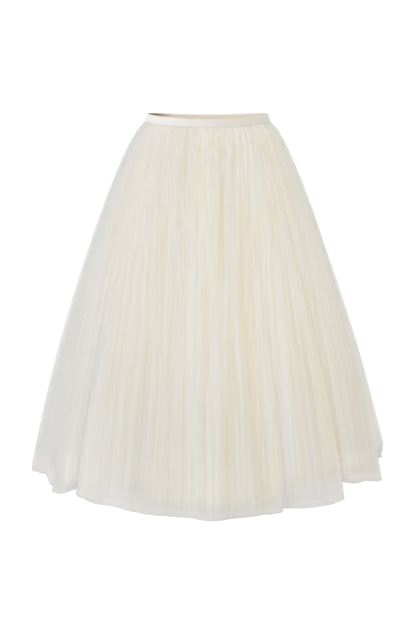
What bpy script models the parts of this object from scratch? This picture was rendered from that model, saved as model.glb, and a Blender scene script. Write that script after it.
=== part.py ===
"""Tulle skirt, filled out as worn: a satin waistband over three tulle layers and a lining.

Metres, +Z up. The origin is the centre of the waistband at mid height, where the waist holds
the skirt. The front faces -Y and the wearer's left side is +X. A bearing is the angle of a
point on its oval, in degrees anticlockwise from +X, so 90 is centre back and 270 centre front.
"""

import math
from bisect import bisect_right
from collections import namedtuple

import bpy

SKIRT = "tulle_skirt"

# A cross-section of the skirt: an oval at a drop below the waistband's seam.
Ring = namedtuple("Ring", "drop half_width half_depth")
# A fold line from waist to hem: how far it stands out (or sinks in) and lifts, at the hem.
Fold = namedtuple("Fold", "bearing reach lift")
# A layer of cloth: its panels, its length at centre front, the rings it hangs on, how far
# inside them it lies at the seam and at the hem, its share of the folds, how far it is lifted
# and how far inside it lies at the corner, its rows from seam to hem as shares of the length,
# and its finish.
Layer = namedtuple(
    "Layer",
    "name panels length rings seam_inset hem_inset fold_share corner_lift corner_inset stops finish",
)
Finish = namedtuple("Finish", "name colour roughness")

# Waistband: a folded strip with a slight flare, dipping at centre front and centre back.
BAND_HEIGHT = 0.0165
BAND_WALL = 0.003
BAND_TOP = Ring(0.0, 0.1262, 0.0930)
BAND_BOTTOM = Ring(BAND_HEIGHT, 0.1312, 0.0972)
FRONT_DIP = 0.006
BACK_DIP = 0.008
BAND_STEP = 6.0

# Cloth walls, the gaps at their seams, and the way that a wall grows from its sheet.
CLOTH_WALL = 0.001
SEAM_GAP = 0.0003
SIDE_GAP = 0.0006
LAYER_PITCH = 0.0018
INWARDS = -1.0
BOTH_WAYS = 0.0

# The hem rises towards the side seams, because the cloth leans out furthest there. The folds
# grow from nothing at the seam by a power of the way down, and a trough waits longer for each
# metre that it sinks in.
SIDE_RISE = 0.018
FOLD_GROWTH = 1.3
TROUGH_DELAY = 25.0
COLUMN_STEP = 6.0

# Behind the wearer's left side the layers' hems lie apart, as small corners above each other.
CORNER_BEARING = 16.0
CORNER_SPAN = 8.0

# The panels of a layer, with the bearings of their first and last seams.
HALVES = {"front": (180.0, 360.0), "back": (0.0, 180.0)}
GORES = {
    "front_right": (180.0, 270.0),
    "front_left": (270.0, 360.0),
    "back_left": (0.0, 90.0),
    "back_right": (90.0, 180.0),
}

BELL = (
    Ring(0.000, 0.1322, 0.0982),
    Ring(0.018, 0.1485, 0.1130),
    Ring(0.048, 0.1670, 0.1285),
    Ring(0.113, 0.1970, 0.1530),
    Ring(0.203, 0.2320, 0.1810),
    Ring(0.333, 0.2760, 0.2140),
    Ring(0.503, 0.3265, 0.2530),
    Ring(0.663, 0.3647, 0.2830),
    Ring(0.788, 0.3895, 0.3030),
)
LINING_BELL = (
    Ring(0.000, 0.1322, 0.0982),
    Ring(0.018, 0.1395, 0.1055),
    Ring(0.048, 0.1510, 0.1160),
    Ring(0.113, 0.1740, 0.1345),
    Ring(0.203, 0.2010, 0.1560),
    Ring(0.333, 0.2330, 0.1810),
    Ring(0.503, 0.2630, 0.2050),
    Ring(0.788, 0.2960, 0.2330),
)

FOLDS = (
    Fold(0.0, -0.012, 0.004),
    Fold(8.0, -0.014, 0.010),
    Fold(16.0, 0.032, 0.031),
    Fold(24.0, -0.004, 0.020),
    Fold(31.0, -0.018, 0.010),
    Fold(38.0, 0.008, 0.003),
    Fold(47.0, -0.012, 0.004),
    Fold(58.0, 0.012, 0.001),
    Fold(65.0, -0.018, 0.006),
    Fold(74.0, 0.008, 0.002),
    Fold(84.0, -0.010, 0.003),
    Fold(94.0, 0.010, 0.001),
    Fold(104.0, -0.008, 0.003),
    Fold(113.0, 0.010, 0.001),
    Fold(122.0, -0.014, 0.005),
    Fold(132.0, 0.008, 0.002),
    Fold(140.0, -0.020, 0.009),
    Fold(150.0, 0.006, 0.004),
    Fold(160.0, -0.016, 0.012),
    Fold(171.0, 0.008, 0.010),
    Fold(180.0, 0.001, 0.017),
    Fold(190.0, 0.002, 0.018),
    Fold(197.0, -0.002, 0.024),
    Fold(202.5, -0.008, 0.026),
    Fold(206.2, -0.013, 0.007),
    Fold(209.3, -0.014, 0.003),
    Fold(212.0, 0.000, 0.003),
    Fold(218.0, 0.004, 0.003),
    Fold(223.2, -0.016, 0.012),
    Fold(227.0, 0.006, 0.014),
    Fold(232.0, -0.006, 0.004),
    Fold(239.0, 0.006, 0.010),
    Fold(248.0, -0.010, 0.000),
    Fold(256.0, 0.010, 0.006),
    Fold(264.0, -0.008, 0.002),
    Fold(272.0, 0.010, 0.002),
    Fold(280.0, -0.006, 0.000),
    Fold(292.0, 0.012, 0.006),
    Fold(297.5, -0.014, 0.000),
    Fold(306.0, 0.004, 0.002),
    Fold(310.9, 0.008, 0.002),
    Fold(313.9, 0.012, 0.006),
    Fold(320.4, -0.034, 0.024),
    Fold(333.0, -0.018, 0.014),
    Fold(347.0, 0.001, 0.002),
    Fold(354.0, -0.016, 0.003),
    Fold(360.0, -0.012, 0.004),
)

FINE_STOPS = (0.0, 0.02, 0.06, 0.14, 0.30, 0.52, 0.76, 1.0)
PLAIN_STOPS = (0.0, 0.02, 0.06, 0.14, 0.45, 1.0)

TULLE = Finish("ivory_tulle", (0.783, 0.745, 0.651, 1.0), 0.85)
SATIN = Finish("ivory_satin", (0.791, 0.761, 0.708, 1.0), 0.38)
WARM_SATIN = Finish("warm_lining", (0.738, 0.658, 0.539, 1.0), 0.60)

LAYERS = (
    Layer(
        "tulle_top", HALVES, 0.784, BELL, 0.0, 0.0, 1.00, 0.016, 0.0, FINE_STOPS, TULLE
    ),
    Layer(
        "tulle_middle", HALVES, 0.778, BELL, LAYER_PITCH, 0.007, 0.97, -0.006, 0.002,
        PLAIN_STOPS, TULLE,
    ),
    Layer(
        "tulle_under", HALVES, 0.772, BELL, 2 * LAYER_PITCH, 0.015, 0.94, -0.029, 0.006,
        PLAIN_STOPS, TULLE,
    ),
    Layer(
        "lining", GORES, 0.777, LINING_BELL, 3 * LAYER_PITCH, 0.006, 0.0, 0.0, 0.006,
        PLAIN_STOPS, WARM_SATIN,
    ),
)


def clear_scene():
    for old in list(bpy.data.objects):
        bpy.data.objects.remove(old, do_unlink=True)


def new_collection():
    collection = bpy.data.collections.new(SKIRT)
    bpy.context.scene.collection.children.link(collection)
    return collection


def material(node_name, finish):
    """A Principled material of the finish, one for each object."""
    made = bpy.data.materials.new(f"{finish.name}_{node_name}")
    made.use_nodes = True
    shader = made.node_tree.nodes["Principled BSDF"]
    shader.inputs["Base Color"].default_value = finish.colour
    shader.inputs["Roughness"].default_value = finish.roughness
    shader.inputs["Metallic"].default_value = 0.0
    return made


def curve_through(xs, ys, x):
    """The smooth curve through the points (xs, ys), read at x."""
    last = len(xs) - 1
    i = min(max(bisect_right(xs, x) - 1, 0), last - 1)

    def slope(k):
        before, after = max(k - 1, 0), min(k + 1, last)
        return (ys[after] - ys[before]) / (xs[after] - xs[before])

    width = xs[i + 1] - xs[i]
    s = (x - xs[i]) / width
    start = (1 + 2 * s) * (1 - s) ** 2 * ys[i] + s * (1 - s) ** 2 * width * slope(i)
    end = s * s * (3 - 2 * s) * ys[i + 1] - s * s * (1 - s) * width * slope(i + 1)
    return start + end


def ring_at(rings, drop):
    """Half width and half depth of the rings' oval at a drop below the seam."""
    drops = [ring.drop for ring in rings]
    return (
        curve_through(drops, [ring.half_width for ring in rings], drop),
        curve_through(drops, [ring.half_depth for ring in rings], drop),
    )


def fold_at(bearing):
    """Reach and lift of the folds at a bearing, eased between the fold lines beside it."""
    bearings = [fold.bearing for fold in FOLDS]
    i = min(bisect_right(bearings, bearing) - 1, len(FOLDS) - 2)
    before, after = FOLDS[i], FOLDS[i + 1]
    share = (bearing - before.bearing) / (after.bearing - before.bearing)
    eased = (1 - math.cos(math.pi * share)) / 2
    reach = before.reach + (after.reach - before.reach) * eased
    lift = before.lift + (after.lift - before.lift) * eased
    return reach, lift


def corner_share(bearing):
    """1 at the corner's bearing, easing to 0 at its span on both sides."""
    away = min(abs(bearing - CORNER_BEARING) / CORNER_SPAN, 1.0)
    return (1 + math.cos(math.pi * away)) / 2


def oval_point(bearing, half_width, half_depth, out=0.0):
    """A point on an oval, moved out square to it."""
    angle = math.radians(bearing)
    across, along = math.cos(angle), math.sin(angle)
    normal_x, normal_y = across / half_width, along / half_depth
    size = math.hypot(normal_x, normal_y)
    return (
        half_width * across + out * normal_x / size,
        half_depth * along + out * normal_y / size,
    )


def waist_dip(bearing):
    """How far the waistline lies below its height at the sides."""
    along = math.sin(math.radians(bearing))
    return (BACK_DIP if along > 0.0 else FRONT_DIP) * along ** 2


def seam_height():
    """Top of the cloth at the sides: clear of the flared band's lower inner edge."""
    flare = BAND_BOTTOM.half_width - BAND_TOP.half_width
    lean = math.atan2(flare, BAND_HEIGHT)
    return -(BAND_HEIGHT / 2 + BAND_WALL / 2 * math.sin(lean) + SEAM_GAP)


def column_bearings(side):
    """The bearings of a panel's columns: its seams, each fold line, and steps between them."""
    first, last = side
    inner = [fold.bearing for fold in FOLDS if first < fold.bearing < last]
    lines = [first, *inner, last]
    bearings = [first]
    for before, after in zip(lines, lines[1:]):
        steps = math.ceil((after - before) / COLUMN_STEP)
        bearings += [before + (after - before) * k / steps for k in range(1, steps + 1)]
    return bearings


def cloth_point(layer, bearing, stop):
    """A point on a layer's outer face, at a share of the way from its seam to its hem."""
    reach, lift = fold_at(bearing)
    corner = corner_share(bearing)
    rise = SIDE_RISE * abs(math.cos(math.radians(bearing)))
    drop = stop * (layer.length - rise - lift - layer.corner_lift * corner)
    half_width, half_depth = ring_at(layer.rings, drop)
    hem_inset = layer.hem_inset + (layer.corner_inset - layer.hem_inset) * corner
    inset = layer.seam_inset + (hem_inset - layer.seam_inset) * stop
    growth = FOLD_GROWTH + TROUGH_DELAY * max(-reach, 0.0)
    out = layer.fold_share * reach * stop ** growth - inset
    x, y = oval_point(bearing, half_width, half_depth, out)
    return x, y, seam_height() - waist_dip(bearing) - drop


def band_point(bearing, stop):
    """A point on the middle of the waistband's wall, from its top edge to its bottom edge."""
    half_width = BAND_TOP.half_width + (BAND_BOTTOM.half_width - BAND_TOP.half_width) * stop
    half_depth = BAND_TOP.half_depth + (BAND_BOTTOM.half_depth - BAND_TOP.half_depth) * stop
    x, y = oval_point(bearing, half_width, half_depth)
    return x, y, BAND_HEIGHT / 2 - waist_dip(bearing) - BAND_HEIGHT * stop


def inside_seam(side, bearing, x, y):
    """A point of a panel's edge, moved half a gap inside the seam at that bearing."""
    middle = math.radians((side[0] + side[1]) / 2)
    if bearing % 180.0 == 0.0:
        return x, math.copysign(SIDE_GAP / 2, math.sin(middle))
    return math.copysign(SIDE_GAP / 2, math.cos(middle)), y


def panel(collection, name, side, bearings, stops, place, wall, wall_offset, finish):
    """A sheet of cloth on place(bearing, stop), given its wall, between two seams."""
    columns, rows = len(bearings) - 1, len(stops) - 1
    bpy.ops.mesh.primitive_grid_add(x_subdivisions=columns, y_subdivisions=rows, size=1.0)
    sheet = bpy.context.active_object
    sheet.name = name
    sheet.data.name = name
    for vertex in sheet.data.vertices:
        column = round((vertex.co.x + 0.5) * columns)
        row = round((0.5 - vertex.co.y) * rows)
        x, y, z = place(bearings[column], stops[row])
        if column in (0, columns):
            x, y = inside_seam(side, bearings[column], x, y)
        vertex.co = (x, y, z)
    sheet.data.update()
    solidify = sheet.modifiers.new("cloth_wall", "SOLIDIFY")
    solidify.thickness = wall
    solidify.offset = wall_offset
    sheet.data.materials.append(material(name, finish))
    for owner in list(sheet.users_collection):
        owner.objects.unlink(sheet)
    collection.objects.link(sheet)
    return sheet


def waistband(collection):
    for end, side in HALVES.items():
        steps = round((side[1] - side[0]) / BAND_STEP)
        bearings = [side[0] + (side[1] - side[0]) * k / steps for k in range(steps + 1)]
        panel(
            collection,
            f"waistband_{end}",
            side,
            bearings,
            (0.0, 1.0),
            band_point,
            BAND_WALL,
            BOTH_WAYS,
            SATIN,
        )


def cloth_layer(collection, layer):
    for end, side in layer.panels.items():
        panel(
            collection,
            f"{layer.name}_{end}",
            side,
            column_bearings(side),
            layer.stops,
            lambda bearing, stop: cloth_point(layer, bearing, stop),
            CLOTH_WALL,
            INWARDS,
            layer.finish,
        )


def build():
    clear_scene()
    collection = new_collection()
    waistband(collection)
    for layer in LAYERS:
        cloth_layer(collection, layer)


build()
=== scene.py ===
# %% [markdown]
# # A tulle skirt, filled out as worn
# A satin waistband holds three layers of sheer net over a slim, warm lining. The looks of such a
# skirt come from many thin layers: each one hides little, and where the net stands in folds it
# hides more. The frame gives the solids that the pieces lie on, and each piece here is a thin
# shell on one of them. All sizes are in metres, +Z is up, and the front faces -Y.

# %% Load the frame
import math

import bpy
import numpy as np
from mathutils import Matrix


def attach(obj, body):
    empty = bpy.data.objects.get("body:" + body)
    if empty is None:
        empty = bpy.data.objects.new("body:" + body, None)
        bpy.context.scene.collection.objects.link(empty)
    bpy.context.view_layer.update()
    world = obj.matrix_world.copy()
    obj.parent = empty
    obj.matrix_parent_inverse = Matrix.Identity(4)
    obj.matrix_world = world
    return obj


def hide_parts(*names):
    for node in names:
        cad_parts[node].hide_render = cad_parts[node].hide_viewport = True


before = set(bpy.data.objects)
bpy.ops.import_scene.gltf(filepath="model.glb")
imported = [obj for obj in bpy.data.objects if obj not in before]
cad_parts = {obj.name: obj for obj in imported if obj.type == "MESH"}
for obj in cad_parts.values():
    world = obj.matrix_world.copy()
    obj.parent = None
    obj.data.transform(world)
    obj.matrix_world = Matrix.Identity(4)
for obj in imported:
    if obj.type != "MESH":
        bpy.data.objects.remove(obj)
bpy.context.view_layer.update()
print("solids in the frame:", sorted(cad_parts))


# %% Small helpers for working by hand
def select_only(*pieces):
    """Selects these pieces and nothing else. The last one becomes the active one."""
    if bpy.context.mode != "OBJECT":
        bpy.ops.object.mode_set(mode="OBJECT")
    bpy.ops.object.select_all(action="DESELECT")
    for piece in pieces:
        piece.select_set(True)
        bpy.context.view_layer.objects.active = piece


def named(name):
    """Names the active object and its data, and returns it."""
    piece = bpy.context.active_object
    piece.name = name
    piece.data.name = name
    return piece


# %% [markdown]
# ## Camera, floor and light
# A long lens from four metres away keeps the skirt's outline nearly flat, as a shop's picture
# does. The camera stands a little above the waist, so that the hem shows as a curve and the
# waist's opening as a thin lens. The floor is far below the hem. Most of the light comes from a
# white world, which fills the folds softly. One broad sun gives the form. It shines from the
# front, a little from the left and from above.

# %% Camera
CAMERA_PLACE = (0.001, -4.0, 0.258)
CAMERA_PITCH = math.radians(9.6)
CAMERA_LENS = 108.5
FILM_WIDTH = 36.0
VIEW_LIMIT = 200.0

select_only()
bpy.ops.object.camera_add(location=CAMERA_PLACE, rotation=(math.pi / 2 - CAMERA_PITCH, 0.0, 0.0))
camera = named("camera")
camera.data.sensor_width = FILM_WIDTH
camera.data.lens = CAMERA_LENS
camera.data.clip_end = VIEW_LIMIT
bpy.context.scene.camera = camera
print("camera at", CAMERA_PLACE, "with a lens of", CAMERA_LENS, "mm")

# %% Floor
FLOOR_HEIGHT = -1.60
FLOOR_SIZE = 120.0
FLOOR_PAINT = (0.96, 0.96, 0.96, 1.0)

select_only()
bpy.ops.mesh.primitive_plane_add(size=FLOOR_SIZE, location=(0.0, 0.0, FLOOR_HEIGHT))
floor = named("floor")
floor_paint = bpy.data.materials.new("pale_floor")
floor_paint.use_nodes = True
floor_shader = floor_paint.node_tree.nodes["Principled BSDF"]
floor_shader.inputs["Base Color"].default_value = FLOOR_PAINT
floor_shader.inputs["Roughness"].default_value = 0.9
floor_shader.inputs["Specular IOR Level"].default_value = 0.1
floor.data.materials.append(floor_paint)

# %% Light
WORLD_STRENGTH = 1.05
SUN_STRENGTH = 0.44
SUN_SPREAD = math.radians(60.0)
SUN_TURN = (math.radians(72.0), 0.0, math.radians(-18.0))
# A look through the skirt passes six sheets of net, and more where they stand in folds.
NET_PASSES = 96

world = bpy.data.worlds.new("white_studio")
world.use_nodes = True
world.node_tree.nodes["Background"].inputs["Color"].default_value = (1.0, 1.0, 1.0, 1.0)
world.node_tree.nodes["Background"].inputs["Strength"].default_value = WORLD_STRENGTH
bpy.context.scene.world = world
select_only()
bpy.ops.object.light_add(type="SUN", rotation=SUN_TURN)
sun = named("soft_sun")
sun.data.energy = SUN_STRENGTH
sun.data.angle = SUN_SPREAD
bpy.context.scene.view_settings.view_transform = "Standard"
bpy.context.scene.cycles.transparent_max_bounces = NET_PASSES

# %% [markdown]
# ## The skirt's form
# A bearing is an angle round the waist, in degrees anticlockwise from the wearer's left side, so
# 90 is centre back and 270 is centre front. A stop is a share of the way from the seam under the
# waistband, 0, to the hem, 1. The tables are the ones that the solids were made from: ovals for
# the bell and for the slimmer lining, and the large folds, which grow towards the hem.

# %% Rings, folds and lengths
# The gap at the side seams is narrower than the solids' one, so that no light line shows there.
# The large folds grow as this power of the stop. A hollow grows as a higher power, by the delay
# times its depth, so it begins lower down.
BAND_HEIGHT = 0.0165
BAND_WALL = 0.003
BAND_HALF_WIDTH = (0.1262, 0.1312)
BAND_HALF_DEPTH = (0.0930, 0.0972)
FRONT_DIP = 0.006
BACK_DIP = 0.008
SEAM_GAP = 0.0003
SIDE_GAP = 0.0001
SIDE_RISE = 0.018
FOLD_GROWTH = 1.3
TROUGH_DELAY = 25.0
HALVES = {"front": (180.0, 360.0), "back": (0.0, 180.0)}
GORES = {
    "front_right": (180.0, 270.0),
    "front_left": (270.0, 360.0),
    "back_left": (0.0, 90.0),
    "back_right": (90.0, 180.0),
}

# Drop below the seam, half width and half depth, for the bell and then for the lining.
BELL = np.array([
    (0.000, 0.1322, 0.0982),
    (0.018, 0.1485, 0.1130),
    (0.048, 0.1670, 0.1285),
    (0.113, 0.1970, 0.1530),
    (0.203, 0.2320, 0.1810),
    (0.333, 0.2760, 0.2140),
    (0.503, 0.3265, 0.2530),
    (0.663, 0.3647, 0.2830),
    (0.788, 0.3895, 0.3030),
]).T
LINING_BELL = np.array([
    (0.000, 0.1322, 0.0982),
    (0.018, 0.1395, 0.1055),
    (0.048, 0.1510, 0.1160),
    (0.113, 0.1740, 0.1345),
    (0.203, 0.2010, 0.1560),
    (0.333, 0.2330, 0.1810),
    (0.503, 0.2630, 0.2050),
    (0.788, 0.2960, 0.2330),
]).T
# Bearing, how far the fold stands out at the hem, and how far it lifts the hem.
FOLDS = np.array([
    (0.0, -0.012, 0.004), (8.0, -0.014, 0.010), (16.0, 0.032, 0.031), (24.0, -0.004, 0.020),
    (31.0, -0.018, 0.010), (38.0, 0.008, 0.003), (47.0, -0.012, 0.004), (58.0, 0.012, 0.001),
    (65.0, -0.018, 0.006), (74.0, 0.008, 0.002), (84.0, -0.010, 0.003), (94.0, 0.010, 0.001),
    (104.0, -0.008, 0.003), (113.0, 0.010, 0.001), (122.0, -0.014, 0.005), (132.0, 0.008, 0.002),
    (140.0, -0.020, 0.009), (150.0, 0.006, 0.004), (160.0, -0.016, 0.012), (171.0, 0.008, 0.010),
    (180.0, 0.001, 0.017), (190.0, 0.002, 0.018), (197.0, -0.002, 0.024), (202.5, -0.008, 0.026),
    (206.2, -0.013, 0.007), (209.3, -0.014, 0.003), (212.0, 0.000, 0.003), (218.0, 0.004, 0.003),
    (223.2, -0.016, 0.012), (227.0, 0.006, 0.014), (232.0, -0.006, 0.004), (239.0, 0.006, 0.010),
    (248.0, -0.010, 0.000), (256.0, 0.010, 0.006), (264.0, -0.008, 0.002), (272.0, 0.010, 0.002),
    (280.0, -0.006, 0.000), (292.0, 0.012, 0.006), (297.5, -0.014, 0.000), (306.0, 0.004, 0.002),
    (310.9, 0.008, 0.002), (313.9, 0.012, 0.006), (320.4, -0.034, 0.024), (333.0, -0.018, 0.014),
    (347.0, 0.001, 0.002), (354.0, -0.016, 0.003), (360.0, -0.012, 0.004),
]).T


# %% Read the tables as smooth curves
def smooth_curve(xs, ys, x):
    """The smooth curve through the points (xs, ys), read at each x."""
    inner = (ys[2:] - ys[:-2]) / (xs[2:] - xs[:-2])
    first = (ys[1] - ys[0]) / (xs[1] - xs[0])
    last = (ys[-1] - ys[-2]) / (xs[-1] - xs[-2])
    slope = np.concatenate(([first], inner, [last]))
    i = np.clip(np.searchsorted(xs, x, side="right") - 1, 0, len(xs) - 2)
    width = xs[i + 1] - xs[i]
    s = (x - xs[i]) / width
    start = (1 + 2 * s) * (1 - s) ** 2 * ys[i] + s * (1 - s) ** 2 * width * slope[i]
    end = s * s * (3 - 2 * s) * ys[i + 1] - s * s * (1 - s) * width * slope[i + 1]
    return start + end


def eased(low, high, x):
    """0 below low, 1 above high, and a soft step between them."""
    share = np.clip((x - low) / (high - low), 0.0, 1.0)
    return share * share * (3 - 2 * share)


def large_folds(bearing):
    """Reach and lift of the large folds."""
    bearings, reach, lift = FOLDS
    i = np.clip(np.searchsorted(bearings, bearing, side="right") - 1, 0, len(bearings) - 2)
    share = (bearing - bearings[i]) / (bearings[i + 1] - bearings[i])
    turn = (1 - np.cos(np.pi * share)) / 2
    return reach[i] + (reach[i + 1] - reach[i]) * turn, lift[i] + (lift[i + 1] - lift[i]) * turn


def oval_place(bearing, half_width, half_depth, out=0.0):
    """Points on ovals, moved out square to them."""
    angle = np.radians(bearing)
    across, along = np.cos(angle), np.sin(angle)
    normal = np.stack((across / half_width, along / half_depth))
    normal = normal / np.hypot(*normal)
    return half_width * across + out * normal[0], half_depth * along + out * normal[1]


def waist_dip(bearing):
    """How far the waistline lies below its height at the sides."""
    along = np.sin(np.radians(bearing))
    return np.where(along > 0.0, BACK_DIP, FRONT_DIP) * along ** 2


band_lean = math.atan2(BAND_HALF_WIDTH[1] - BAND_HALF_WIDTH[0], BAND_HEIGHT)
SEAM_HEIGHT = -(BAND_HEIGHT / 2 + BAND_WALL / 2 * math.sin(band_lean) + SEAM_GAP)
print("the cloth starts at", round(SEAM_HEIGHT * 1000, 2), "mm")

# %% [markdown]
# ## Gathers and folds
# A maker gathers each layer onto the waistband, so the seam is full of small uneven puckers, a
# finger's width apart. Some of them run down as long folds and some die out, while new ones begin
# lower down, where the cloth has more room. A net bends sharply, so a fold is a narrow soft ridge
# with a wider hollow beside it. Each ridge here is one line with its own place, width and ends.
#
# The bell is much wider at the hem than at the waist, but the cloth in the middle of the front and
# the back hangs nearly straight down. Its lines only fan out lower down and towards the flanks. So
# a line of cloth is named by its bearing at the hem, and a function finds the line at any point.

# %% Lines of folds
FULL_TURN = 360.0
HALF_TURN = 180.0
HANG_SPREAD = 1.3
HANG_REACH = 0.20
# The height of the ridges that counts as flat cloth, so that folds stand both out and in.
FLAT_LEVEL = 0.4


def shortest_turn(degrees):
    """The same angle, between -180 and 180 degrees."""
    return (degrees + HALF_TURN) % FULL_TURN - HALF_TURN


def hung_line(bearing, stop):
    """The line of cloth at each point, named by its bearing at the hem."""
    middle = np.where(bearing > HALF_TURN, 270.0, 90.0)
    away = bearing - middle
    spread = HANG_SPREAD * np.exp(-stop / HANG_REACH) * (1.0 - eased(15.0, 70.0, np.abs(away)))
    return middle + away / (1.0 + spread)


def uneven_lines(seed, narrowest, widest):
    """Bearings all round the skirt, with uneven gaps between them."""
    random = np.random.default_rng(seed)
    gaps = random.uniform(narrowest, widest, int(2 * FULL_TURN / (narrowest + widest)))
    return random, np.cumsum(gaps) * FULL_TURN / gaps.sum()


def ridge_lines(seed, narrowest, widest, width_share, starts, lengths, drift):
    """A table of ridges: bearing, drift, half width, depth, start and end."""
    random, bearings = uneven_lines(seed, narrowest, widest)
    count = len(bearings)
    gap = FULL_TURN / count
    first = random.uniform(*starts, count)
    return np.stack((
        bearings,
        random.uniform(-drift, drift, count),
        gap * width_share * random.uniform(0.7, 1.35, count),
        random.uniform(0.35, 1.0, count),
        first,
        first + random.uniform(*lengths, count),
    ), axis=1)


def ridges(lines, line, stop):
    """How high the ridges stand at each point, where 1 is a deep one."""
    height = np.zeros_like(line)
    for centre, drift, half_width, depth, start, end in lines:
        away = shortest_turn(line - centre - drift * (stop - start))
        shown = eased(start - 0.10, start + 0.05, stop) * (1 - eased(end, end + 0.15, stop))
        height += depth * shown * np.exp(-((away / half_width) ** 2))
    return height


GATHERS = ridge_lines(11, 1.6, 3.8, 0.36, (-0.2, 0.0), (0.15, 0.8), 1.5)
print("gathers round the waist:", len(GATHERS))

# %% Main creases
# Line at the seam, drift towards the hem, half width, height, start and end. A height below zero
# is a hollow. A share of the height is used: CREASE_SHARE at the seam, less at the hem.
CREASE_SHARE = 0.40
CREASE_FALL = 0.12
MAIN_CREASES = np.array([
    (215.5, 4.0, 1.5, -0.007, 0.25, 0.50),
    (222.0, 0.5, 0.9, -0.009, 0.40, 1.40),
    (237.0, 0.0, 1.2, -0.008, 0.02, 0.20),
    (237.0, 0.0, 0.6, -0.008, 0.65, 0.95),
    (247.3, 0.0, 1.3, -0.013, 0.52, 1.40),
    (250.9, 0.0, 0.8, 0.008, 0.50, 1.40),
    (252.5, -2.0, 0.7, -0.006, 0.22, 0.55),
    (257.3, 0.2, 0.5, -0.009, 0.58, 1.40),
    (259.4, -1.0, 0.7, -0.010, 0.20, 0.58),
    (261.8, -2.0, 1.0, -0.016, 0.01, 0.28),
    (266.2, 0.3, 0.7, -0.006, 0.10, 0.42),
    (267.6, 0.0, 1.1, 0.008, 0.50, 1.40),
    (270.0, 1.0, 1.3, -0.008, 0.34, 0.70),
    (275.4, 1.2, 0.9, -0.014, 0.05, 0.42),
    (276.2, 0.0, 0.6, -0.012, 0.72, 1.40),
    (277.8, 0.0, 0.7, 0.009, 0.00, 0.36),
    (280.0, 7.0, 1.5, -0.012, 0.30, 1.40),
    (287.2, 0.5, 0.9, -0.010, 0.16, 0.60),
    (292.9, 0.0, 0.5, -0.010, 0.70, 1.40),
    (295.0, 0.0, 0.9, 0.008, 0.65, 1.40),
    (305.0, 0.5, 1.0, -0.008, 0.42, 0.66),
    (308.7, 0.8, 1.2, -0.011, 0.55, 0.92),
    (312.5, 0.0, 0.8, -0.008, 0.10, 0.42),
    (317.0, 0.0, 2.2, -0.009, 0.45, 0.92),
    (323.8, 0.5, 0.9, -0.010, 0.65, 1.40),
    (328.8, 0.0, 0.6, -0.008, 0.65, 0.92),
    (20.0, 2.0, 2.0, 0.007, 0.00, 1.40),
    (46.0, -4.0, 1.5, -0.012, 0.30, 1.40),
    (68.0, 3.0, 1.3, -0.011, 0.10, 0.70),
    (78.0, 1.0, 0.8, -0.012, 0.04, 0.40),
    (84.0, 2.0, 1.0, 0.008, 0.40, 1.40),
    (91.0, -1.0, 0.9, -0.014, 0.02, 0.35),
    (99.0, 1.0, 1.1, -0.011, 0.55, 1.40),
    (112.0, 2.0, 1.4, -0.012, 0.25, 1.40),
    (134.0, 4.0, 1.5, -0.012, 0.45, 1.40),
    (158.0, -2.0, 1.9, 0.007, 0.10, 1.40),
])


def main_creases(line, stop):
    """Metres that the main creases stand out, or in where they are below zero."""
    height = np.zeros_like(line)
    for centre, drift, half_width, reach, start, end in MAIN_CREASES:
        away = shortest_turn(line - centre - drift * stop)
        shown = eased(start - 0.05, start + 0.08, stop) * (1 - eased(end - 0.12, end, stop))
        share = shown * (CREASE_SHARE - CREASE_FALL * stop)
        height += reach * share * np.exp(-((away / half_width) ** 2))
    return height


# %% [markdown]
# ## Tucks
# At the hem some folds are so deep that the cloth turns over on itself: it runs on, doubles back
# and runs on again, like a Z seen from below. From outside one sees a straight upright edge, and
# the hem steps there, because the part behind hangs further in and higher. Moving points only in
# and out can't fold a sheet over, so a tuck also moves them sideways, along the bearing.

# %% Tucks
# Bearing at the hem, half width, overlap, how far the front side stands out, which side is in
# front (1 is the higher bearing), how far the back side lifts, start, and drift from the waist.
TUCKS = np.array([
    (211.9, 0.9, 1.0, 0.003, 1, 0.004, 0.45, 0.0),
    (223.7, 1.2, 2.0, 0.004, 1, 0.010, 0.40, 2.0),
    (292.7, 0.9, 1.2, 0.000, -1, 0.008, 0.45, 0.0),
    (315.2, 1.0, 2.4, 0.005, -1, 0.020, 0.35, -6.0),
    (46.0, 1.2, 2.6, 0.007, 1, 0.006, 0.40, -3.0),
    (68.0, 1.1, 2.4, 0.006, -1, 0.006, 0.40, 3.0),
    (121.0, 1.2, 2.8, 0.008, 1, 0.008, 0.35, 3.0),
    (140.0, 1.2, 3.0, 0.009, -1, 0.010, 0.40, 4.0),
    (161.0, 1.1, 2.4, 0.006, 1, 0.006, 0.50, 0.0),
])
TUCK_TURN = 1.6
TUCK_SHARPNESS = 1.4
TUCK_FADE = 6.0
SLIT_SHARPNESS = 0.7


def tucks(bearing, stop):
    """Sideways turn in degrees, metres out and metres of lift that the tucks add."""
    turn, out, lift = (np.zeros_like(bearing) for _ in range(3))
    for centre, half_width, overlap, reach, front, rise, start, drift in TUCKS:
        away = shortest_turn(bearing - centre - drift * (stop - 1.0))
        grown = eased(start, 1.0, stop)
        near = away / half_width
        turn -= TUCK_TURN * overlap * grown * near * np.exp(-near ** 2)
        side = np.tanh(TUCK_SHARPNESS * near) * front
        fading = np.exp(-(near / TUCK_FADE) ** 2)
        out += 0.5 * reach * grown * side * fading
        lift += 0.5 * rise * grown * (1.0 - side) * fading
    return turn, out, lift


# The slits are where painted_values puts painted shade and painted warm light.
def tuck_slits(bearing, stop):
    """1 on the line where a tuck turns over, easing to 0 beside it."""
    slit = np.zeros_like(bearing)
    for centre, half_width, _, _, _, _, start, drift in TUCKS:
        away = shortest_turn(bearing - centre - drift * (stop - 1.0))
        beside = np.exp(-(SLIT_SHARPNESS * away / half_width) ** 2)
        slit = np.maximum(slit, eased(start, 1.0, stop) * beside)
    return slit


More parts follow.
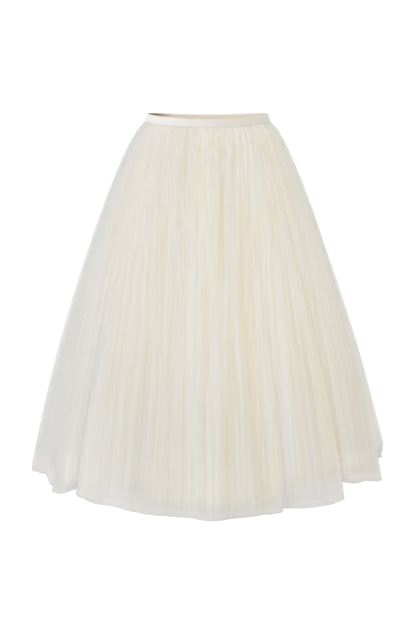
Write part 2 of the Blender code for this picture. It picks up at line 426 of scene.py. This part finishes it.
# %% [markdown]
# ## The layers
# Every layer hangs from the same seam, so near the waist they all share the gathers. Lower down
# each layer stands clear of the next one and makes folds of its own. That is what gives tulle
# its depth: lines of one layer show through the lines of another. The table says how each layer
# lies, and its own folds are kept smaller than its distance from the next layer. Behind the
# wearer's left side the three hems lie apart, as small corners above each other, so the table
# also says how far each layer is lifted there, and how far inside the top layer it lies.

# %% The table of layers
LAYER_PITCH = 0.0018
CORNER_BEARING = 16.0
CORNER_SPAN = 8.0
LAYERS = {
    "tulle_top": dict(panels=HALVES, length=0.784, rings=BELL, seam_inset=0.0, hem_inset=0.0,
                      corner_lift=0.016, corner_inset=0.0, fold_share=1.0, own_depth=0.0013,
                      columns=860, rows=72),
    "tulle_middle": dict(panels=HALVES, length=0.778, rings=BELL, seam_inset=LAYER_PITCH,
                         hem_inset=0.007, corner_lift=-0.006, corner_inset=0.002,
                         fold_share=0.97, own_depth=0.0013, columns=700, rows=58),
    "tulle_under": dict(panels=HALVES, length=0.772, rings=BELL, seam_inset=2 * LAYER_PITCH,
                        hem_inset=0.015, corner_lift=-0.029, corner_inset=0.006,
                        fold_share=0.94, own_depth=0.0013, columns=560, rows=50),
    "lining": dict(panels=GORES, length=0.777, rings=LINING_BELL, seam_inset=3 * LAYER_PITCH,
                   hem_inset=0.006, corner_lift=0.0, corner_inset=0.006, fold_share=0.0,
                   own_depth=0.005, columns=120, rows=44),
}
OWN_FOLDS = {
    "tulle_top": ridge_lines(21, 1.5, 3.6, 0.40, (-0.2, 0.9), (0.15, 0.5), 4.0),
    "tulle_middle": ridge_lines(22, 1.7, 4.2, 0.40, (-0.2, 0.9), (0.15, 0.5), 5.0),
    "tulle_under": ridge_lines(23, 2.0, 5.0, 0.40, (-0.2, 0.9), (0.15, 0.6), 6.0),
    "lining": ridge_lines(24, 7.0, 14.0, 0.42, (0.0, 0.3), (1.0, 1.3), 2.0),
}
GATHER_SHARE = {"tulle_top": 1.0, "tulle_middle": 0.95, "tulle_under": 0.9, "lining": 0.35}


# %% Where a layer's cloth lies
# The cloth's top edge is caught inside the band. The small folds are crisp at the front and back,
# and the flanks are smooth. Bearings, then how crisp the folds are near the waist and lower down.
CAUGHT = 0.0014
SEAM_BULGE = 0.0018
GATHER_DEPTH = 0.0036
GATHER_FALL = 0.6
GATHER_GROWTH = 0.0006
OWN_DEPTH_AT_SEAM = 0.0006
CRISP_BEARINGS = (0, 30, 60, 120, 150, 180, 205, 215, 225, 236, 246, 300, 315, 330, 350, 360)
CRISP_HIGH = (0.4, 0.6, 1.0, 1.0, 0.6, 0.2, 0.2, 0.25, 0.35, 0.6, 1.0, 1.0, 0.8, 0.5, 0.3, 0.4)
CRISP_LOW = (0.3, 0.7, 1.0, 1.0, 0.7, 0.2, 0.2, 0.4, 0.6, 0.9, 1.0, 1.0, 1.0, 0.8, 0.4, 0.3)


def crispness(bearing, stop):
    """How crisp the small folds are at each point, from 0 to 1."""
    high, low = (np.interp(bearing, CRISP_BEARINGS, shares) for shares in (CRISP_HIGH, CRISP_LOW))
    return high + (low - high) * eased(0.15, 0.60, stop)


def seam_bulge(stop):
    """The gathered cloth swells out from under the band's edge, and lies down again below it."""
    return eased(0.0, 0.0035, stop) * (1.0 - eased(0.006, 0.05, stop))


def gather_depth(stop):
    """Deep just under the band, shallower below it, and a little deeper again to the hem."""
    fading = 1.0 - GATHER_FALL * eased(0.03, 0.15, stop)
    return GATHER_DEPTH * eased(0.0, 0.007, stop) * fading + GATHER_GROWTH * stop


def small_folds(name, bearing, stop):
    """Metres that the gathers and the layer's own folds stand out."""
    layer = LAYERS[name]
    line = hung_line(bearing, stop)
    gathers = gather_depth(stop) * (ridges(GATHERS, line, stop) - FLAT_LEVEL) * GATHER_SHARE[name]
    own_depth = OWN_DEPTH_AT_SEAM + layer["own_depth"] * stop ** 0.8
    own = own_depth * (ridges(OWN_FOLDS[name], line, stop) - FLAT_LEVEL)
    creases = main_creases(line, stop) * layer["fold_share"]
    return ((gathers + own) * crispness(bearing, stop) + creases) * eased(-0.001, 0.005, stop)


def corner_share(bearing):
    """1 at the corner's bearing, easing to 0 at its span on both sides."""
    away = np.minimum(np.abs(bearing - CORNER_BEARING) / CORNER_SPAN, 1.0)
    return (1 + np.cos(np.pi * away)) / 2


def cloth_place(name, bearing, stop, with_small_folds=True):
    """Points of a layer's cloth, on the solids' form and with the small folds unless told otherwise."""
    layer = LAYERS[name]
    reach, lift = large_folds(bearing)
    corner = corner_share(bearing)
    turn, tuck_out, tuck_lift = tucks(bearing, stop)
    rise = SIDE_RISE * np.abs(np.cos(np.radians(bearing)))
    lift = lift + tuck_lift * layer["fold_share"] + layer["corner_lift"] * corner
    drop = stop * (layer["length"] - rise - lift)
    drops, half_widths, half_depths = layer["rings"]
    hem_inset = layer["hem_inset"] + (layer["corner_inset"] - layer["hem_inset"]) * corner
    inset = layer["seam_inset"] + (hem_inset - layer["seam_inset"]) * stop
    growth = FOLD_GROWTH + TROUGH_DELAY * np.maximum(-reach, 0.0)
    out = layer["fold_share"] * (reach * stop ** growth + tuck_out) - inset
    if with_small_folds:
        out = out + small_folds(name, bearing, stop) + SEAM_BULGE * seam_bulge(stop)
    half_width = smooth_curve(drops, half_widths, drop)
    half_depth = smooth_curve(drops, half_depths, drop)
    x, y = oval_place(bearing + layer["fold_share"] * turn, half_width, half_depth, out)
    caught = CAUGHT * (1.0 - eased(0.0, 0.005, stop))
    return np.stack((x, y, SEAM_HEIGHT + caught - waist_dip(bearing) - drop), axis=-1)


def inside_seams(points, side):
    """Moves a panel's first and last columns half a gap inside its seams."""
    middle = math.radians((side[0] + side[1]) / 2)
    for column, bearing in ((0, side[0]), (-1, side[1])):
        at_side = bearing % 180.0 == 0.0
        facing = math.sin(middle) if at_side else math.cos(middle)
        points[:, column, 1 if at_side else 0] = math.copysign(SIDE_GAP / 2, facing)
    return points


# %% Painted warm light, painted light and shade, and density round the skirt
# Painted warm light: the lining is slim, so the net is painted warm in front of it, as by light
# from the lining, and not at the flanks. The wearer's right side stands further from it and is
# painted cooler. Bearings, then shares of painted warmth near the waist and lower down.
PAINTED_WARM_BEARINGS = (0, 12, 28, 60, 120, 150, 172, 195, 212, 225, 235, 250, 264, 272, 286, 303, 309,
                 331, 342, 360)
PAINTED_WARM_HIGH = (0.55, 0.6, 0.7, 0.85, 0.85, 0.7, 0.35, 0.2, 0.4, 0.45, 0.48, 0.59, 0.60, 0.76, 0.70,
             0.58, 0.85, 0.9, 0.75, 0.6)
PAINTED_WARM_LOW = (0.5, 0.7, 0.85, 1.0, 0.9, 0.65, 0.2, 0.05, 0.22, 0.25, 0.42, 0.62, 0.44, 0.55, 0.78,
            0.6, 0.72, 1.0, 0.7, 0.5)
# Where the pale hem begins, as a stop. It is higher up where the layers' hems lie apart.
PALE_BEARINGS = (0, 40, 90, 140, 195, 210, 217, 230, 236, 241, 247, 252, 262, 288, 296, 308, 322,
                 327, 345, 360)
PALE_STARTS = (0.96, 0.96, 0.94, 0.96, 0.94, 0.955, 1.0, 0.98, 0.945, 0.94, 0.945, 0.96, 0.965, 0.97,
               0.945, 0.935, 0.93, 0.97, 0.98, 0.96)
# Painted light and shade: the net's colour is scaled darker lower down, most of all on the
# wearer's left, and lighter or darker round the skirt. Bearings, then shares of its colour near
# the waist, lower down, and in the pale hem.
PAINTED_LIGHT_BEARINGS = (0, 90, 180, 205, 218, 223, 231, 240, 255, 264, 278, 288, 294, 301, 307, 320, 326,
                 333, 345, 360)
PAINTED_LIGHT_HIGH = (0.98, 1.0, 0.98, 1.02, 1.05, 1.05, 1.04, 1.02, 1.01, 1.05, 1.02, 1.01, 1.045, 1.06, 1.015,
             1.03, 1.02, 0.99, 1.0, 0.98)
PAINTED_LIGHT_LOW = (0.98, 0.94, 0.94, 0.94, 0.95, 1.05, 0.98, 0.945, 0.945, 0.98, 0.95, 0.90, 1.02, 0.95, 0.90,
            0.93, 0.965, 0.86, 0.89, 0.96)
PAINTED_LIGHT_HEM = (0.96, 0.95, 0.96, 0.98, 0.96, 0.96, 0.96, 1.03, 0.945, 0.955, 0.88, 0.89, 0.965, 0.985, 0.955,
            0.98, 0.98, 0.97, 1.01, 0.96)
# Painted shade and painted warm bounced light in the hollows of creases and tucks: they are made
# warmer and darker by these shares near the waist, and by the second ones more lower down. A
# crease of this many metres or more counts in full.
FULL_TROUGH = 0.005
TROUGH_WARM_LIGHT = (0.2, 0.2)
TROUGH_SHADE = (0.03, 0.04)
# How much denser the net looks at the flanks low down, beside the side seams, and in the gathers.
FLANK_DENSITY = 1.1
RIM_DENSITY = 0.7
RIM_SHARPNESS = 40
GATHER_DENSITY = 0.5


def painted_values(bearing, stop):
    """Painted warmth, painted light and shade, pale hem share and net density at each point."""
    troughs = np.clip(main_creases(hung_line(bearing, stop), stop) / -FULL_TROUGH, 0.0, 1.0)
    troughs = np.maximum(troughs, tuck_slits(bearing, stop))
    high, low = (np.interp(bearing, PAINTED_WARM_BEARINGS, shares) for shares in (PAINTED_WARM_HIGH, PAINTED_WARM_LOW))
    trough_warm_light = TROUGH_WARM_LIGHT[0] + TROUGH_WARM_LIGHT[1] * eased(0.1, 0.4, stop)
    painted_warm_light = (high + (low - high) * eased(0.10, 0.75, stop)) * (1.0 + trough_warm_light * troughs)
    high, low = (np.interp(bearing, PAINTED_LIGHT_BEARINGS, shares) for shares in (PAINTED_LIGHT_HIGH, PAINTED_LIGHT_LOW))
    shading = TROUGH_SHADE[0] + TROUGH_SHADE[1] * eased(0.3, 0.8, stop)
    tone = (high + (low - high) * eased(0.50, 0.97, stop)) * (1.0 - shading * troughs)
    pale = np.interp(bearing, PALE_BEARINGS, PALE_STARTS)
    hem = eased(pale - 0.015, pale + 0.035, stop)
    tone += (np.interp(bearing, PAINTED_LIGHT_BEARINGS, PAINTED_LIGHT_HEM) - tone) * hem
    across = np.abs(np.cos(np.radians(bearing)))
    flank = (0.25 + 0.75 * across) * eased(0.45, 0.92, stop)
    gathered = 1.0 - eased(0.0, 0.10, stop)
    rim = across ** RIM_SHARPNESS
    density = 1.0 + FLANK_DENSITY * flank + RIM_DENSITY * rim + GATHER_DENSITY * gathered
    return painted_warm_light.clip(0.0, 1.0), tone, hem, density


# %% A flat grid to start from
def flat_grid(name, columns, rows, side):
    """A new grid, with the bearing and the share of the way down at each of its points."""
    select_only()
    bpy.ops.mesh.primitive_grid_add(x_subdivisions=columns, y_subdivisions=rows, size=1.0)
    grid = named(name)
    flat = np.empty((rows + 1) * (columns + 1) * 3)
    grid.data.vertices.foreach_get("co", flat)
    flat = flat.reshape(rows + 1, columns + 1, 3)
    bearing = side[0] + (flat[..., 0] + 0.5) * (side[1] - side[0])
    return grid, bearing, (0.5 - flat[..., 1]).clip(0.0, 1.0)


def put_points(piece, points):
    """Moves the piece's vertices to these points."""
    piece.data.vertices.foreach_set("co", points.astype(np.float32).ravel())
    piece.data.update()


# %% One panel of a layer
# The rows lie closer together near the seam, where the gathers are. The fullness is how much
# longer the cloth is with its small folds than without them, up to a limit. A point counts as
# fully raised at this height at the seam, and at more towards the hem.
ROW_CROWDING = 1.45
MOST_FULL = 1.4
RAISED_AT_SEAM = 0.004
RAISED_GROWTH = 0.006


def cloth_panel(name, side_name, side):
    """A sheet on the layer's form, with how full and how raised its cloth is at each point."""
    layer = LAYERS[name]
    piece_name = f"{name}_{side_name}_cloth"
    panel, bearing, down = flat_grid(piece_name, layer["columns"], layer["rows"], side)
    stop = down ** ROW_CROWDING
    points = inside_seams(cloth_place(name, bearing, stop), side)
    plain = cloth_place(name, bearing, stop, with_small_folds=False)
    put_points(panel, points)
    along = np.linalg.norm(np.gradient(points, axis=1), axis=2)
    fullness = np.minimum(along / np.linalg.norm(np.gradient(plain, axis=1), axis=2), MOST_FULL)
    raised = small_folds(name, bearing, stop) / (RAISED_AT_SEAM + RAISED_GROWTH * stop)
    painted_warm_light, tone, hem, density = painted_values(bearing, stop)
    line = (hung_line(bearing, stop) - side[0]) / (side[1] - side[0])
    stored_values = {"fullness": fullness * density, "raised": raised, "hem": hem, "line": line,
                     "painted_warm_light": painted_warm_light, "tone": tone, "crisp": crispness(bearing, stop)}
    for attribute, values in stored_values.items():
        stored = panel.data.attributes.new(attribute, "FLOAT", "POINT")
        stored.data.foreach_set("value", values.astype(np.float32).ravel())
    panel.data.update()
    select_only(panel)
    bpy.ops.object.shade_smooth()
    mean, most = (round(float(number), 2) for number in (fullness.mean(), fullness.max()))
    print(panel.name, "fullness", mean, "to", most)
    return panel


# %% [markdown]
# ## Finishes
# A finish is a small network of shader nodes. Writing them out one by one is long, so a value
# that comes out of a node is wrapped here, and arithmetic on it adds the Math nodes. Any other
# node comes from one method, which takes the node's settings first and then its sockets.

# %% Shader values and finishes
class Value:
    """A value inside a finish. Arithmetic on it adds Math nodes."""

    def __init__(self, finish, socket):
        self.finish = finish
        self.socket = socket

    def maths(self, operation, *values):
        return self.finish.node("ShaderNodeMath", {"operation": operation}, dict(enumerate(values)))

    def __add__(self, other):
        return self.maths("ADD", self, other)

    def __radd__(self, other):
        return self.maths("ADD", other, self)

    def __sub__(self, other):
        return self.maths("SUBTRACT", self, other)

    def __rsub__(self, other):
        return self.maths("SUBTRACT", other, self)

    def __mul__(self, other):
        return self.maths("MULTIPLY", self, other)

    def larger(self, other):
        return self.maths("MAXIMUM", self, other)

    def clamped(self):
        return self.maths("MINIMUM", self.larger(0.0), 1.0)

    def sine(self):
        return self.maths("SINE", self)

    def exponential(self):
        return self.maths("EXPONENT", self)


class Finish:
    """A material whose Principled shader gets plain values and node networks."""

    def __init__(self, name):
        self.material = bpy.data.materials.new(name)
        self.material.use_nodes = True
        self.tree = self.material.node_tree
        self.shader = self.tree.nodes["Principled BSDF"]

    def plug(self, socket, value):
        """Links a value to a socket, or sets a plain one."""
        if isinstance(value, Value):
            self.tree.links.new(value.socket, socket)
        else:
            socket.default_value = value

    def node(self, kind, settings=None, sockets=None, output=0):
        """A new node with these settings and sockets, as the value that it gives."""
        made = self.tree.nodes.new(kind)
        for key, value in (settings or {}).items():
            setattr(made, key, value)
        for key, value in (sockets or {}).items():
            self.plug(made.inputs[key], value)
        return Value(self, made.outputs[output])

    def attribute(self, name):
        return self.node("ShaderNodeAttribute", {"attribute_name": name}, output="Fac")

    def parts(self, place):
        """The three parts of a place, each as a value."""
        split = self.tree.nodes.new("ShaderNodeSeparateXYZ")
        self.plug(split.inputs[0], place)
        return [Value(self, output) for output in split.outputs]

    def cloth_parts(self):
        """How far across its panel a point lies and how far up, as shares."""
        return self.parts(self.node("ShaderNodeUVMap", {"uv_map": "UVMap"}))[:2]

    def bump(self, height, strength, distance):
        sockets = {"Strength": strength, "Distance": distance, "Height": height}
        return self.node("ShaderNodeBump", sockets=sockets)

    def noise(self, across, down, depth, detail=2.0, roughness=0.5):
        """Noise at a place given by three values."""
        place = self.node("ShaderNodeCombineXYZ", sockets={0: across, 1: down, 2: depth})
        sockets = {"Vector": place, "Scale": 1.0, "Detail": detail, "Roughness": roughness}
        return self.node("ShaderNodeTexNoise", sockets=sockets, output="Fac")

    def mix(self, share, first, second):
        """A colour between two colours."""
        made = self.tree.nodes.new("ShaderNodeMix")
        made.data_type = "RGBA"
        for socket, value in ((0, share), (6, first), (7, second)):
            self.plug(made.inputs[socket], value)
        return Value(self, made.outputs[2])

    def shade(self, **sockets):
        """Gives the shader's own sockets their values. An underscore stands for a space."""
        for name, value in sockets.items():
            self.plug(self.shader.inputs[name.replace("_", " ")], value)


# %% [markdown]
# ### Tulle
# Tulle is a net of fine threads with open cells about 1.5 mm wide. From a distance its threads
# blur into a veil, so the net is one thin sheet here whose alpha is the share that the threads
# cover. A real net covers more where it stands in a fold, since more threads lie behind each
# other, so the alpha follows the fullness stored on the mesh. Long streaks of noise run down
# the cloth, as the small pleats in it do, and a faint grid of cells shows from very near.

# %% The tulle's finish
# Cells of the net, hairlines, streaks, clouds and waves of the lines, counted across a panel.
NET_CELLS = 640.0
HAIRLINES = 170.0
STREAKS = 76.0
CLOUDS = 9.0
WAVES = 14.0
NET_CONTRAST = 0.12
WAVE_WIDTH = 0.012
# The cut edge and the last stretch of the hem, by how fast each one ends going up.
EDGE_STEEPNESS = 330.0
LAST_STEEPNESS = 100.0
LAST_START = 1.6
# Colours of the cloth's hollows and ridges, away from the lining and in front of it. The hollows
# are painted warmer, as by light bounced from the lining and deeper layers, and the ridges cooler.
COOL_HOLLOW = (0.806, 0.802, 0.784, 1.0)
COOL_RIDGE = (0.802, 0.811, 0.818, 1.0)
WARM_HOLLOW = (0.912, 0.840, 0.680, 1.0)
WARM_RIDGE = (0.852, 0.850, 0.836, 1.0)
# Grey of the cut edge, also used as painted shade in the pale hem.
CUT_EDGE_AND_HEM_SHADE = (0.675, 0.660, 0.632, 1.0)


def tulle_finish(name, seed, cover):
    """A sheer net. The seed moves its noise, and cover says how much one flat layer hides."""
    finish = Finish(name)
    across, up = finish.cloth_parts()
    fullness, raised, crisp = (finish.attribute(name) for name in ("fullness", "raised", "crisp"))
    hem, painted_warm_light, tone = (finish.attribute(name) for name in ("hem", "painted_warm_light", "tone"))
    line = finish.attribute("line")
    line = line + (finish.noise(line * WAVES, up * 7.0, seed + 30.0) - 0.5) * WAVE_WIDTH
    hair = finish.noise(line * HAIRLINES, up * (up * 5.0 + 3.0), seed, roughness=0.6) - 0.5
    streak = finish.noise(line * STREAKS, up * (up * 2.0 + 1.5), 7.0 + seed * 0.06) - 0.5
    cloud = finish.noise(line * CLOUDS, up * 3.0, seed + 13.0) - 0.5
    cell = (across * NET_CELLS * math.pi * 2).sine()
    row = (up * NET_CELLS * math.pi * 1.6).sine()
    net = 1.0 + cell * row * NET_CONTRAST
    seam = ((up - 0.78) * 7.0).clamped()
    spread = 1.0 + (hair * (0.3 + seam * 0.5) + streak * 0.55) * crisp + cloud * (0.3 - seam * 0.2)
    edge = (1.0 - up * EDGE_STEEPNESS).clamped()
    last = (LAST_START - up * LAST_STEEPNESS).clamped()
    threads = fullness * spread * net * cover * (1.0 + edge * 3.0 + hem * 1.4 + last * crisp * 2.0)
    alpha = 1.0 - (threads * -1.0).exponential()
    # Painted light: the height of the small folds picks the hollow or ridge colour; noise adds streaks.
    relief = raised * (0.28 + seam * 0.25)
    ridge = (relief + 0.45 + (streak * 2.3 + hair * (1.7 + seam * 2.6)) * crisp).clamped()
    cool = finish.mix(ridge, COOL_HOLLOW, COOL_RIDGE)
    warm = finish.mix(ridge, WARM_HOLLOW, WARM_RIDGE)
    # The stored painted warm light mixes the net from its cool colours to its warm ones.
    body = finish.mix(painted_warm_light * (1.0 - hem * 0.4), cool, warm)
    # Painted shade: the pale hem and its last stretch go to a darker grey, as the cut edge does.
    hem_shade = (hem * 0.8).larger(last * 0.8)
    colour = finish.mix((edge * 0.6 + hem_shade).clamped(), body, CUT_EDGE_AND_HEM_SHADE)
    # Painted light and shade from the stored tone, and more painted shade in the hem's last stretch.
    scale = tone * (1.0 - last * 0.10)
    painted_lit_colour = finish.node("ShaderNodeVectorMath", {"operation": "SCALE"}, {0: colour, "Scale": scale})
    finish.shade(Base_Color=painted_lit_colour, Alpha=alpha, Roughness=0.9, Specular_IOR_Level=0.12,
                 Sheen_Weight=0.04, Sheen_Roughness=0.5, Sheen_Tint=(0.93, 0.96, 1.0, 1.0))
    return finish.material


COVER = 0.46
TULLE = {
    "tulle_top": tulle_finish("tulle_top_net", 1.0, COVER),
    "tulle_middle": tulle_finish("tulle_middle_net", 2.0, COVER),
    "tulle_under": tulle_finish("tulle_under_net", 3.0, COVER),
}


# %% [markdown]
# ### Lining
# The lining is a slim skirt of warm cream satin. It is opaque, and it gives the middle of the
# skirt its warmth, where the net alone at the sides looks cooler.

# %% The lining's finish
LINING_DARK = (0.87, 0.79, 0.63, 1.0)
LINING_LIGHT = (0.90, 0.84, 0.72, 1.0)


def lining_finish():
    """An opaque satin with soft streaks, clouds and a fine weave."""
    finish = Finish("warm_lining_satin")
    across, up = finish.cloth_parts()
    streak = finish.noise(across * 40.0, up * 1.5, 5.0, detail=3.0)
    cloud = finish.noise(across * 6.0, up * 3.0, 9.0)
    weave = finish.noise(across * 1400.0, up * 900.0, 3.0, detail=1.0)
    tone = (0.5 + (streak - 0.5) * 1.2 + (cloud - 0.5) * 0.5).clamped()
    colour = finish.mix(tone, LINING_DARK, LINING_LIGHT)
    bump = finish.bump(weave, strength=0.08, distance=0.0005)
    finish.shade(Base_Color=colour, Roughness=0.55, Normal=bump, Specular_IOR_Level=0.3)
    return finish.material


LINING = lining_finish()


# %% Lay out the panels
# Each panel gets its layer's finish, takes the place of its solid, and is attached to the root.
for layer_name in LAYERS:
    for side_name, side in LAYERS[layer_name]["panels"].items():
        panel = cloth_panel(layer_name, side_name, side)
        panel.data.materials.append(TULLE.get(layer_name, LINING))
        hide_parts(f"{layer_name}_{side_name}")
        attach(panel, "root")

# %% [markdown]
# ## Waistband
# The waistband is a strip of satin folded over an interfacing, so its top edge is a soft fold and
# its faces swell a little. The outer face is ivory and glossy, and the inner one is warmer.

# %% The waistband's finishes
def painted_light_satin(name, right_end, lit, left_end, rise, fall, roughness):
    """A satin with painted highlight and shade that change from the wearer's right end to the left.

    rise and fall say where each change of painted light begins, in metres, and how fast it goes.
    """
    finish = Finish(name)
    x, y, z = finish.parts(finish.node("ShaderNodeTexCoord", output="Object"))
    streak = finish.noise(x * 60.0, z * 260.0, y * 60.0, detail=3.0)
    threads = finish.noise(x * 900.0, z * 5200.0, y * 900.0, detail=1.0)
    rising = ((x - rise[0]) * rise[1] + (streak - 0.5) * 0.5).clamped()
    falling = ((x - fall[0]) * fall[1] + (streak - 0.5) * 0.5).clamped()
    colour = finish.mix(falling, finish.mix(rising, right_end, lit), left_end)
    bump = finish.bump(threads, strength=0.10, distance=0.0004)
    finish.shade(Base_Color=colour, Roughness=roughness, Normal=bump, Specular_IOR_Level=0.5)
    return finish.material


# Painted highlight at the wearer's right end, and painted shade, darker and warmer, to the left.
BAND_SATIN = painted_light_satin(
    "ivory_band_satin",
    right_end=(0.77, 0.755, 0.73, 1.0), lit=(0.68, 0.66, 0.625, 1.0), left_end=(0.61, 0.57, 0.50, 1.0),
    rise=(-0.128, 10.0), fall=(-0.055, 6.0), roughness=0.45,
)
# Painted shadow: dark brown at the wearer's right end inside; near white elsewhere as painted light.
BAND_FACING = painted_light_satin(
    "peach_band_facing",
    right_end=(0.36, 0.16, 0.05, 1.0), lit=(1.0, 0.93, 0.83, 1.0), left_end=(1.0, 0.98, 0.90, 1.0),
    rise=(-0.116, 24.0), fall=(-0.030, 7.0), roughness=0.5,
)


# %% The waistband's shape
# The gathers of the cloth press a little into the lower half of the band.
BAND_COLUMNS = 180
BAND_ROWS = 16
BAND_PUCKER = 0.0005
BAND_SWELL = 0.0005
FOLD_ROUNDING = 0.0007
SHARP_EDGE = math.radians(60.0)


def band_half(side_name, side):
    """Half of the band, as a wall with soft edges. A stop is 0 at its top and 1 at the seam."""
    band, bearing, stop = flat_grid(f"waistband_{side_name}_satin", BAND_COLUMNS, BAND_ROWS, side)
    half_width = BAND_HALF_WIDTH[0] + (BAND_HALF_WIDTH[1] - BAND_HALF_WIDTH[0]) * stop
    half_depth = BAND_HALF_DEPTH[0] + (BAND_HALF_DEPTH[1] - BAND_HALF_DEPTH[0]) * stop
    pressed = ridges(GATHERS, hung_line(bearing, 0.0), 0.05 * stop) - FLAT_LEVEL
    puckers = BAND_PUCKER * pressed * eased(0.45, 1.0, stop)
    swell = BAND_SWELL * np.sin(np.pi * stop)
    x, y = oval_place(bearing, half_width, half_depth, puckers + swell)
    z = BAND_HEIGHT / 2 - waist_dip(bearing) - BAND_HEIGHT * stop
    put_points(band, inside_seams(np.stack((x, y, z), axis=-1), side))
    wall = band.modifiers.new("wall", "SOLIDIFY")
    wall.thickness = BAND_WALL
    wall.offset = 0.0
    rounding = band.modifiers.new("soft_fold", "BEVEL")
    rounding.width = FOLD_ROUNDING
    rounding.segments = 3
    rounding.limit_method = "ANGLE"
    rounding.angle_limit = SHARP_EDGE
    select_only(band)
    for modifier in ("wall", "soft_fold"):
        bpy.ops.object.modifier_apply(modifier=modifier)
    bpy.ops.object.shade_smooth()
    return band


EDGE_ON = 0.8


def face_inside(band):
    """Gives the faces that look at the waist's middle the facing's finish, but not the edges."""
    band.data.materials.append(BAND_SATIN)
    band.data.materials.append(BAND_FACING)
    for face in band.data.polygons:
        inward = face.normal.x * face.center.x + face.normal.y * face.center.y < 0.0
        face.material_index = 1 if inward and abs(face.normal.z) < EDGE_ON else 0


# %% Make both halves of the band
for side_name, side in HALVES.items():
    band = band_half(side_name, side)
    face_inside(band)
    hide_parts(f"waistband_{side_name}")
    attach(band, "root")
    print(band.name, len(band.data.polygons), "faces")
